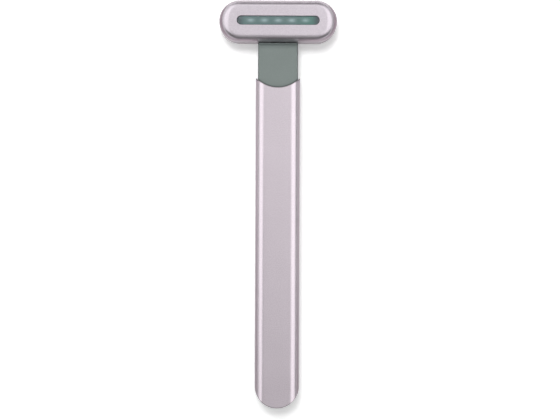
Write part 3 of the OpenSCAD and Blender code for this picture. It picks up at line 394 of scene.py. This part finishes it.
class Channel:
    """An output socket in a finish. Arithmetic on it adds Math nodes."""

    def __init__(self, finish, socket):
        self.finish, self.socket = finish, socket

    def __add__(self, other):
        return self.finish.math("ADD", self, other)

    def __sub__(self, other):
        return self.finish.math("SUBTRACT", self, other)

    def __rsub__(self, other):
        return self.finish.math("SUBTRACT", other, self)

    def __mul__(self, other):
        return self.finish.math("MULTIPLY", self, other)

    def __pow__(self, other):
        return self.finish.math("POWER", self, other)

    def __rpow__(self, other):
        return self.finish.math("POWER", other, self)

    def __abs__(self):
        return self.finish.math("ABSOLUTE", self)

    __radd__, __rmul__ = __add__, __mul__

    def above(self, level, softness):
        """0 below a level and 1 above it, with a smooth step of that softness between."""
        return self.finish.node("ShaderNodeMapRange", {"interpolation_type": "SMOOTHSTEP"},
                                self, level - softness / 2, level + softness / 2, 0.0, 1.0)


class Finish:
    """A material: one Principled surface, and the nodes that feed it."""

    def __init__(self, name, **constants):
        self.material = bpy.data.materials.new(name)
        self.material.use_nodes = True
        self.tree = self.material.node_tree
        self.surface = self.tree.nodes["Principled BSDF"]
        for socket, value in constants.items():
            self.surface.inputs[socket.replace("_", " ")].default_value = value

    def node(self, kind, settings, *values, out=0, **named):
        """Adds a node: its settings first, then the values or links of its sockets."""
        made = self.tree.nodes.new(kind)
        for setting, value in settings.items():
            setattr(made, setting, value)
        inputs = list(enumerate(values)) + [(name.replace("_", " "), v) for name, v in named.items()]
        for key, value in inputs:
            if isinstance(value, Channel):
                self.tree.links.new(value.socket, made.inputs[key])
            else:
                made.inputs[key].default_value = value
        return Channel(self, made.outputs[out])

    def math(self, operation, *values):
        """A Math node."""
        return self.node("ShaderNodeMath", {"operation": operation}, *values)

    def feed(self, **channels):
        """Links channels to the surface's sockets."""
        for socket, channel in channels.items():
            self.tree.links.new(channel.socket, self.surface.inputs[socket.replace("_", " ")])
        return self

    def place(self):
        """Object coordinates, in metres."""
        return self.node("ShaderNodeTexCoord", {}, out="Object")

    def axes(self):
        """The x, y and z of the place on the object, in metres."""
        split = self.node("ShaderNodeSeparateXYZ", {}, self.place())
        return [Channel(self, socket) for socket in split.socket.node.outputs]

    def stretched(self, x, y, z):
        """The place, with each axis multiplied."""
        return self.node("ShaderNodeVectorMath", {"operation": "MULTIPLY"}, self.place(), (x, y, z))

    def noise(self, size, detail=2.0, roughness=0.5, vector=None):
        """Soft noise about 0.5, with cells of that size."""
        return self.node("ShaderNodeTexNoise", {}, Vector=vector or self.place(),
                         Scale=1 / size, Detail=detail, Roughness=roughness)

    def flank(self, top, depth, softness):
        """1 on upright sides: from a depth below the top down to the same above the floor."""
        z = self.axes()[2]
        return z.above(depth, softness) * (1 - z.above(float(top) - depth, softness))

    def from_arc_centre(self):
        """Distance from the upright axis about which the tube's upper arc is cut."""
        x, y, _ = self.axes()
        dy = y - float(tube_high[1] + math.sqrt(UPPER_ARC_R ** 2 - TUBE_HALF_W ** 2))
        return (x * x + dy * dy) ** 0.5

    def sides(self, level, softness):
        """1 where the place is further than a level from the wand's middle line."""
        return abs(self.axes()[0]).above(level, softness)

    def from_lights(self, x, y):
        """Distances along X and Y from the nearest light of an endless row."""
        along = self.math("WRAP", x + LIGHTS_HALF_W, LIGHT_PITCH, 0.0)
        return along - LIGHT_PITCH / 2, y - float(HEAD_Y)

    def attribute(self, name):
        """A number that the mesh carries at its points."""
        return self.node("ShaderNodeAttribute", {"attribute_name": name}, out="Fac")

    def blend(self, mask, first, second):
        """first where the mask is 0, second where it is 1; both are colours."""
        mixer = self.node("ShaderNodeMix", {"data_type": "RGBA"}, out=2)
        for key, value in ((0, mask), (6, first), (7, second)):
            socket = mixer.socket.node.inputs[key]
            if isinstance(value, Channel):
                self.tree.links.new(value.socket, socket)
            else:
                socket.default_value = value
        return mixer

    def bump(self, height, depth, strength=1.0, under=None):
        """Relief of that depth, on top of another relief if one is given."""
        below = {"Normal": under} if under else {}
        return self.node("ShaderNodeBump", {}, Strength=strength, Distance=depth, Height=height,
                         **below)


def linear(red, green, blue):
    """Scene colour of a colour written as it shows on screen, from 0 to 255."""
    shown = np.array([red, green, blue]) / 255
    value = np.where(shown <= 0.04045, shown / 12.92, ((shown + 0.055) / 1.055) ** 2.4)
    return (*value.tolist(), 1.0)


def anodised(name, dark, light, roughness):
    """Blasted and anodised aluminium: fine sparkling grain and faint clouds. Gives the finish and
    its plain tone, which the painted shade of the flanks is laid over."""
    f = Finish(name, Metallic=1.0)
    grain = f.noise(0.42 * MM, 3.0, 0.7)
    fine = f.noise(0.09 * MM, 2.0, 0.6)
    cloud = f.noise(14 * MM, 2.0)
    speck = grain.above(0.5, 0.34)
    relief = f.bump(fine, 0.004 * MM, 0.6, f.bump(grain, 0.008 * MM, 0.5))
    f.feed(Roughness=roughness + 0.06 * cloud + 0.05 * speck, Normal=relief)
    return f, f.blend(speck * 0.75 + cloud * 0.25, linear(*dark), linear(*light))


def tube_mauve():
    """Metal of the handle, with painted shade: deeper on the flanks and cut edges, more so towards the
    round end, and almost dark on the two tips of the upper arc."""
    f, tone = anodised("anodised_mauve", (199, 189, 197), (215, 206, 213), 0.27)
    top, edge_depth, side_depth = 2 * AXIS_Z, 1.3 * MM, 2.9 * MM
    flank = f.flank(top, edge_depth, 0.9 * MM) * (1 - f.flank(top, side_depth, 1.4 * MM) * 0.3)
    # Painted shade on the flanks and cut edges, stronger towards the round end.
    painted_shade_share = 0.55 + (1 - f.axes()[1].above(-35 * MM, 100 * MM)) * 0.2
    colour = f.blend(f.math("MAXIMUM", flank, f.attribute("rim")) * painted_shade_share, tone, linear(99, 84, 92))
    # Painted shade, almost dark, on the two tips of the upper arc beside the neck.
    tip = f.sides(NECK_HALF_W - 0.1 * MM, 0.3 * MM)
    tip = tip * (1 - f.from_arc_centre().above(UPPER_ARC_R + 0.4 * MM, 0.3 * MM))
    return f.feed(Base_Color=f.blend(tip * 0.9, colour, linear(78, 70, 74)))


def head_mauve():
    """Metal of the head's face, with painted shade deeper on the flanks, where that shade starts
    higher at the long sides than at the round ends, and is weaker on the far side, the near side
    and over the neck."""
    f, tone = anodised("anodised_head", (191, 183, 191), (207, 200, 207), 0.32)
    y = f.axes()[1]
    edge_depth, side_depth = f.sides(18 * MM, 5 * MM) * (0.5 * MM) + 0.85 * MM, 2.9 * MM
    flank = f.flank(HEAD_TOP, edge_depth, 0.5 * MM)
    flank = flank * (1 - f.flank(HEAD_TOP, side_depth, 1.4 * MM) * 0.05)
    far = y.above(HEAD_Y + 6.5 * MM, 3 * MM)
    near = 1 - y.above(HEAD_Y - 6.5 * MM, 3 * MM)
    over_neck = (1 - f.sides(NECK_HALF_W, MM)) * (1 - y.above(HEAD_Y - 5 * MM, 2 * MM))
    # Share of painted shade on the flanks: less on the far and near sides and over the neck.
    painted_shade_share = 0.67 - over_neck * 0.6 - far * 0.5 - near * 0.15
    edges = f.math("MAXIMUM", flank, f.attribute("rim"))
    return f.feed(Base_Color=f.blend(edges * painted_shade_share, tone, linear(106, 78, 93)))


def painted_mauve():
    """Satin paint with pearl flakes on a moulded shell, with painted shade deeper on its flanks."""
    f = Finish("painted_mauve", Metallic=0.55, Coat_Weight=0.25, Coat_Roughness=0.3)
    flake = f.noise(0.22 * MM, 2.0, 0.7).above(0.56, 0.12)
    orange_peel = f.noise(1.6 * MM, 1.0)
    cloud = f.noise(17 * MM, 2.0)
    tone = f.blend(cloud, linear(196, 187, 194), linear(203, 194, 201))
    colour = f.blend(flake * 0.3, tone, linear(224, 216, 222))
    # Painted shade on the flanks.
    colour = f.blend(f.flank(HEAD_TOP, 1.3 * MM, 0.5 * MM) * 0.55, colour, linear(104, 72, 92))
    relief = f.bump(orange_peel, 0.01 * MM, 0.35, f.bump(f.noise(0.15 * MM), 0.003 * MM, 0.5))
    return f.feed(Base_Color=colour, Roughness=0.34 + 0.06 * cloud, Normal=relief)


def sage_plastic(painted_neck_shade=False):
    """Moulded plastic with a fine spark-eroded texture. On the neck, a thin line of painted shadow
    runs along the arc of the tube, and the long edges and the end under the head are deeper in
    tone with painted shade."""
    f = Finish("sage_painted_shade" if painted_neck_shade else "sage_plastic", Specular_IOR_Level=0.42)
    pits = f.noise(0.3 * MM, 3.0, 0.65)
    cloud = f.noise(11 * MM, 2.0)
    tone = f.blend(cloud, linear(119, 129, 126), linear(127, 137, 134))
    colour = f.blend(pits.above(0.56, 0.2) * 0.2, tone, linear(144, 153, 149))
    relief = f.bump(pits, 0.012 * MM, 0.5, f.bump(cloud, 0.02 * MM, 0.3))
    if painted_neck_shade:
        # Painted shade: dark long edges, the head's shadow over the neck's end, and a shadow line
        # along the tube's arc.
        y = f.axes()[1]
        sides = f.sides(NECK_HALF_W - 0.35 * MM, 0.3 * MM)
        end = y.above(head_low[1] - 1.9 * MM, 3 * MM) * (1 - y.above(NECK_END - 0.5 * MM, 0.2 * MM))
        line = f.from_arc_centre().above(UPPER_ARC_R - 0.6 * MM, 0.8 * MM)
        line = line * (1 - y.above(tube_high[1], 0.1 * MM))
        for mask, share in ((sides, 0.6), (end, 0.72), (line, 0.75)):
            colour = f.blend(mask * share, colour, linear(62, 70, 70))
    return f.feed(Base_Color=colour, Roughness=0.5 + 0.1 * pits, Normal=relief)


def window_teal():
    """Tinted pane: a pale spot is painted over each light, standing for the light seen through the
    pane, both ends are darker and the right one greener. dx and dy are the distances from the nearest
    light."""
    f = Finish("window_teal", Coat_Weight=0.5, Coat_Roughness=0.08, IOR=1.49)
    x, y, _ = f.axes()
    dx, dy = f.from_lights(x, y)
    away = dx * dx * (0.7 / MM ** 2) + dy * dy * (2.6 / MM ** 2)
    out = abs(x)
    # Painted pale spot over each light, standing for the light beneath seen through the pane.
    spot = 2.0 ** (0 - away) * (1 - out.above(LIGHTS_HALF_W, 0.1 * MM))
    end, green = out.above(15.2 * MM, 3.4 * MM), x.above(10 * MM, 9 * MM)
    streaks = f.noise(2.2 * MM, 2.0, 0.5, f.stretched(0.5, 2, 2))
    tone = f.blend(streaks, linear(97, 125, 125), linear(110, 137, 137))
    tone = f.blend(green * 0.55, tone, linear(76, 134, 120))
    tone = f.blend(spot * 0.55, tone, linear(176, 200, 202))
    colour = f.blend(end, tone, linear(82, 92, 98))
    relief = f.bump(f.noise(3 * MM, 1.0), 0.01 * MM, 0.3)
    return f.feed(Base_Color=colour, Roughness=0.16 + 0.1 * streaks, Alpha=0.8 + 0.15 * spot,
                  Normal=relief)


def white_nylon():
    """Moulded nylon, slightly warm, with soft flow marks."""
    f = Finish("white_nylon", Subsurface_Weight=0.05, Specular_IOR_Level=0.4)
    flow = f.noise(4 * MM, 3.0, 0.6, f.stretched(1, 0.4, 1))
    grain = f.noise(0.2 * MM, 2.0)
    return f.feed(Base_Color=f.blend(flow, linear(221, 220, 213), linear(232, 231, 226)),
                  Roughness=0.48 + 0.14 * grain, Normal=f.bump(grain, 0.01 * MM, 0.5))


def black_plastic():
    """Moulded epoxy of chips and switches."""
    f = Finish("black_plastic")
    grain = f.noise(0.12 * MM, 3.0, 0.7)
    return f.feed(Base_Color=f.blend(grain, linear(26, 26, 28), linear(46, 46, 49)),
                  Roughness=0.45 + 0.2 * grain, Normal=f.bump(grain, 0.01 * MM, 0.6))


def bright_steel():
    """Nickel-plated steel with drawn lines along the wand."""
    f = Finish("bright_steel", Metallic=1.0)
    lines = f.noise(0.5 * MM, 4.0, 0.7, f.stretched(6, 0.25, 6))
    stain = f.noise(3 * MM, 2.0)
    return f.feed(Base_Color=f.blend(stain, linear(178, 178, 181), linear(198, 197, 198)),
                  Roughness=0.22 + 0.16 * lines, Normal=f.bump(lines, 0.004 * MM, 0.5))


def cell_sleeve():
    """Shrunk blue sleeve round the cell, puckered at both ends, which show bare metal."""
    f = Finish("cell_sleeve", Coat_Weight=0.3, Coat_Roughness=0.15)
    y = f.axes()[1]
    low, high = (corner[1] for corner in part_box("battery_cell"))
    metal = 1 - y.above(low + 0.6 * MM, 0.1 * MM) * (1 - y.above(high - 0.9 * MM, 0.1 * MM))
    pucker = f.noise(1.1 * MM, 2.0, 0.5, f.stretched(1, 0.15, 1))
    blue = f.blend(pucker, linear(52, 98, 150), linear(70, 118, 172))
    return f.feed(Base_Color=f.blend(metal, blue, linear(190, 190, 192)), Metallic=metal,
                  Roughness=0.3 + 0.1 * pucker, Normal=f.bump(pucker, 0.03 * MM, 0.6))


def circuit_board(name, mask_low, mask_high, copper):
    """Solder mask over copper tracks, which stand a little proud of it."""
    f = Finish(name, Specular_IOR_Level=0.5)
    tracks = f.node("ShaderNodeTexBrick", {"offset": 0.37, "squash": 1.6, "squash_frequency": 3},
                    f.stretched(1, 1, 0), Scale=1 / (4.2 * MM), Mortar_Size=0.045,
                    Mortar_Smooth=0.1, Bias=0.0, Brick_Width=0.62, Row_Height=0.3, out="Fac")
    weave = f.noise(0.35 * MM, 2.0)
    mask = f.blend(weave, linear(*mask_low), linear(*mask_high))
    return f.feed(Base_Color=f.blend(tracks, mask, linear(*copper)), Roughness=0.3 + 0.15 * weave,
                  Normal=f.bump(tracks, 0.03 * MM, 0.7))


def led_yellow():
    """Row of lights: a round yellow phosphor in each white package."""
    f = Finish("led_yellow")
    x, y, _ = f.axes()
    dx, dy = f.from_lights(x, y)
    phosphor = 1 - ((dx * dx + dy * dy) ** 0.5).above(1.1 * MM, 0.12 * MM)
    grain = f.noise(0.1 * MM, 2.0)
    yellow = f.blend(grain, linear(240, 232, 160), linear(250, 244, 190))
    return f.feed(Base_Color=f.blend(phosphor, linear(240, 240, 236), yellow),
                  Roughness=0.35 + 0.2 * grain, Normal=f.bump(phosphor, 0.03 * MM, 0.8))


def film_amber():
    """Polyimide film with the heating track showing through it."""
    f = Finish("film_amber", Coat_Weight=0.4, Coat_Roughness=0.2)
    x, y, _ = f.axes()
    phase = y * (2 * math.pi / (0.9 * MM))
    track = f.math("SINE", phase).above(0.2, 0.25)
    haze = f.noise(2 * MM, 2.0)
    amber = f.blend(haze, linear(196, 128, 52), linear(212, 146, 66))
    return f.feed(Base_Color=f.blend(track, amber, linear(150, 88, 44)), Metallic=track * 0.5,
                  Roughness=0.28 + 0.12 * haze, Normal=f.bump(track, 0.02 * MM, 0.6))


def soft_rubber():
    """Moulded silicone, matt with dust-like grain."""
    f = Finish("soft_rubber", Specular_IOR_Level=0.3)
    grain = f.noise(0.25 * MM, 3.0, 0.7)
    return f.feed(Base_Color=f.blend(grain, linear(54, 54, 57), linear(74, 74, 77)),
                  Roughness=0.66 + 0.2 * grain, Normal=f.bump(grain, 0.015 * MM, 0.6))


def insulation(name):
    """Extruded insulation with faint die lines. Gives the finish and the lines."""
    f = Finish(name)
    lines = f.noise(0.3 * MM, 2.0, 0.6, f.stretched(1, 0.1, 1))
    return f.feed(Roughness=0.42 + 0.15 * lines, Normal=f.bump(lines, 0.01 * MM, 0.4)), lines


def wire_sleeve():
    """Grey insulation."""
    f, lines = insulation("wire_sleeve")
    return f.feed(Base_Color=f.blend(lines, linear(78, 74, 74), linear(98, 94, 94)))


def lead_pair():
    """Red lead on the right and black lead on the left."""
    f, lines = insulation("lead_pair")
    colour = f.blend(f.axes()[0].above(0.0, 0.1 * MM), linear(38, 38, 40), linear(168, 34, 32))
    return f.feed(Base_Color=f.blend(lines * 0.3, colour, linear(190, 150, 150)))


FINISHES = {
    "anodised_mauve": tube_mauve(), "painted_mauve": painted_mauve(),
    "sage_plastic": sage_plastic(), "window_teal": window_teal(), "white_nylon": white_nylon(),
    "black_plastic": black_plastic(), "bright_steel": bright_steel(),
    "cell_sleeve": cell_sleeve(), "led_yellow": led_yellow(), "film_amber": film_amber(),
    "board_green": circuit_board("board_green", (18, 74, 46), (24, 88, 56), (44, 116, 74)),
    "board_white": circuit_board("board_white", (226, 226, 220), (236, 236, 231), (206, 206, 198)),
    "soft_rubber": soft_rubber(), "wire_sleeve": wire_sleeve(),
}

# ---------------------------------------------------------------- CAD nodes that stay


def soften(node, width):
    """Rounds the edges of a CAD node: its loose triangles are joined, flat faces become whole,
    and edges over 30 degrees get a small round."""
    node.modifiers.new("join", "WELD").merge_threshold = SAME_POINT
    whole = node.modifiers.new("whole_faces", "DECIMATE")
    whole.decimate_type = "DISSOLVE"
    whole.angle_limit = math.radians(0.5)
    edge = node.modifiers.new("edge", "BEVEL")
    edge.width, edge.segments = width, 2
    edge.limit_method, edge.angle_limit = "ANGLE", math.radians(30)
    edge.use_clamp_overlap = True
    keep_flat(node)


def finish_nodes():
    """Gives every CAD node its finish, and the outer ones small round edges."""
    for part in frame["record"]["subparts"]:
        node = frame["nodes"][part["node"]]
        node.data.materials.clear()
        node.data.materials.append(FINISHES[part["material_slot"]].material)
    frame["nodes"]["charge_leads"].data.materials[0] = lead_pair().material
    # The neck halves get the sage finish with painted shade and painted shadow lines.
    painted_neck_shade = sage_plastic(painted_neck_shade=True).material
    for name in ("neck_front", "neck_back"):
        frame["nodes"][name].data.materials[0] = painted_neck_shade
    for name in ("neck_front", "neck_back", "end_cap"):
        soften(frame["nodes"][name], 0.12 * MM)
    soften(frame["nodes"]["usb_shell"], 0.06 * MM)


# ---------------------------------------------------------------- studio


def white_sweep():
    """Pale floor. Camera, glossy and transmission rays see it lifted to white, and it keeps
    the shadow that falls on it."""
    half, drop, lift_strength = 4.0, 0.01 * MM, 0.32
    mesh = bpy.data.meshes.new("floor")
    corners = [(-half, -half, 0), (half, -half, 0), (half, half, 0), (-half, half, 0)]
    mesh.from_pydata(corners, [], [(0, 1, 2, 3)])
    floor = new_object("floor", mesh)
    floor.location.z = -drop
    f = Finish("floor_white", Base_Color=(0.96, 0.96, 0.96, 1), Roughness=0.9, Specular_IOR_Level=0.0)
    path = f.node("ShaderNodeLightPath", {}).socket.node.outputs
    rays = ("Is Camera Ray", "Is Glossy Ray", "Is Transmission Ray")
    seen = sum(Channel(f, path[ray]) for ray in rays).above(0.5, 0.1)
    lift = f.node("ShaderNodeEmission", {}, (1, 1, 1, 1), seen * lift_strength)
    both = f.node("ShaderNodeAddShader", {}, Channel(f, f.surface.outputs[0]), lift)
    f.tree.links.new(both.socket, f.tree.nodes["Material Output"].inputs["Surface"])
    mesh.materials.append(f.material)


def panel(name, tilt, distance, size, radiance, lights=True, shines=True):
    """Rectangular soft light that faces the wand. The tilts are in degrees from straight above,
    towards +X and +Y, and an area light's power is radiance times area times pi. A panel that
    only shines shows in the metal, and one that only lights falls on matt surfaces."""
    (tilt_x, tilt_y), (width, height) = tilt, size
    data = bpy.data.lights.new(name, "AREA")
    data.shape, data.size, data.size_y = "RECTANGLE", width, height
    data.energy = radiance * width * height * math.pi
    lamp = new_object(name, data)
    way = Vector((math.tan(math.radians(tilt_x)), math.tan(math.radians(tilt_y)), 1)).normalized()
    lamp.location = way * distance
    lamp.rotation_euler = way.to_track_quat("Z", "Y").to_euler()
    lamp.visible_diffuse, lamp.visible_glossy = lights, shines


def studio_light():
    """Broad light from above, further towards the head, a dimmer panel towards the round end, a
    panel at each side that shows in the metal, a small key above the head for the short shadow,
    a wide fill, and a pale room that is darker beyond the round end, except near the horizon."""
    panel("panel_above", tilt=(-4.5, 12), distance=1.2, size=(0.58, 0.98), radiance=0.67)
    panel("panel_front", tilt=(-2, -34), distance=1.2, size=(0.8, 1.0), radiance=0.42)
    panel("panel_left", tilt=(-45, 24), distance=1.15, size=(1.62, 1.2), radiance=1.47, lights=False)
    panel("panel_right", tilt=(38, 15), distance=1.15, size=(1.5, 1.2), radiance=1.5, lights=False)
    panel("key", tilt=(-4.5, 18.5), distance=1.2, size=(0.33, 0.33), radiance=21, shines=False)
    panel("fill", tilt=(0, 0), distance=1.2, size=(2.0, 2.0), radiance=0.25, shines=False)
    world = bpy.data.worlds.new("room")
    bpy.context.scene.world = world
    world.use_nodes = True
    nodes, links = world.node_tree.nodes, world.node_tree.links
    nodes["Background"].inputs["Color"].default_value = (1, 1, 1, 1)
    split = nodes.new("ShaderNodeSeparateXYZ")
    links.new(nodes.new("ShaderNodeTexCoord").outputs["Generated"], split.inputs[0])
    brightest = nodes.new("ShaderNodeMath")
    brightest.operation = "MAXIMUM"
    room_dark, room_pale, horizon = 0.08, 0.28, 0.2
    ranges = [("Y", (-0.8, 0.6, room_dark, room_pale)), ("Z", (0.06, 0.16, horizon, 0.0))]
    for slot, (axis, limits) in enumerate(ranges):
        ramp = nodes.new("ShaderNodeMapRange")
        for socket, value in zip(("From Min", "From Max", "To Min", "To Max"), limits):
            ramp.inputs[socket].default_value = value
        links.new(split.outputs[axis], ramp.inputs["Value"])
        links.new(ramp.outputs[0], brightest.inputs[slot])
    links.new(brightest.outputs[0], nodes["Background"].inputs["Strength"])


def photo_camera():
    """Camera straight above the wand. The wand lies a little right of upright in its picture."""
    across, along, height, turn = 1.06 * MM, -2.43 * MM, 0.6, math.radians(0.22)
    data = bpy.data.cameras.new("photo_camera")
    data.sensor_width, data.lens, data.clip_start = 36, 91.25, 0.01
    camera = new_object("photo_camera", data)
    camera.location = (across, along, height)
    camera.rotation_euler = (0, 0, turn)
    bpy.context.scene.camera = camera


finish_nodes()
handle_tube(FINISHES["anodised_mauve"])
head_face(head_mauve())
head_rear(FINISHES["painted_mauve"])
window_pane(FINISHES["window_teal"])
push_button(FINISHES["sage_plastic"])
white_sweep()
studio_light()
photo_camera()

bpy.context.scene.view_settings.view_transform = "Standard"
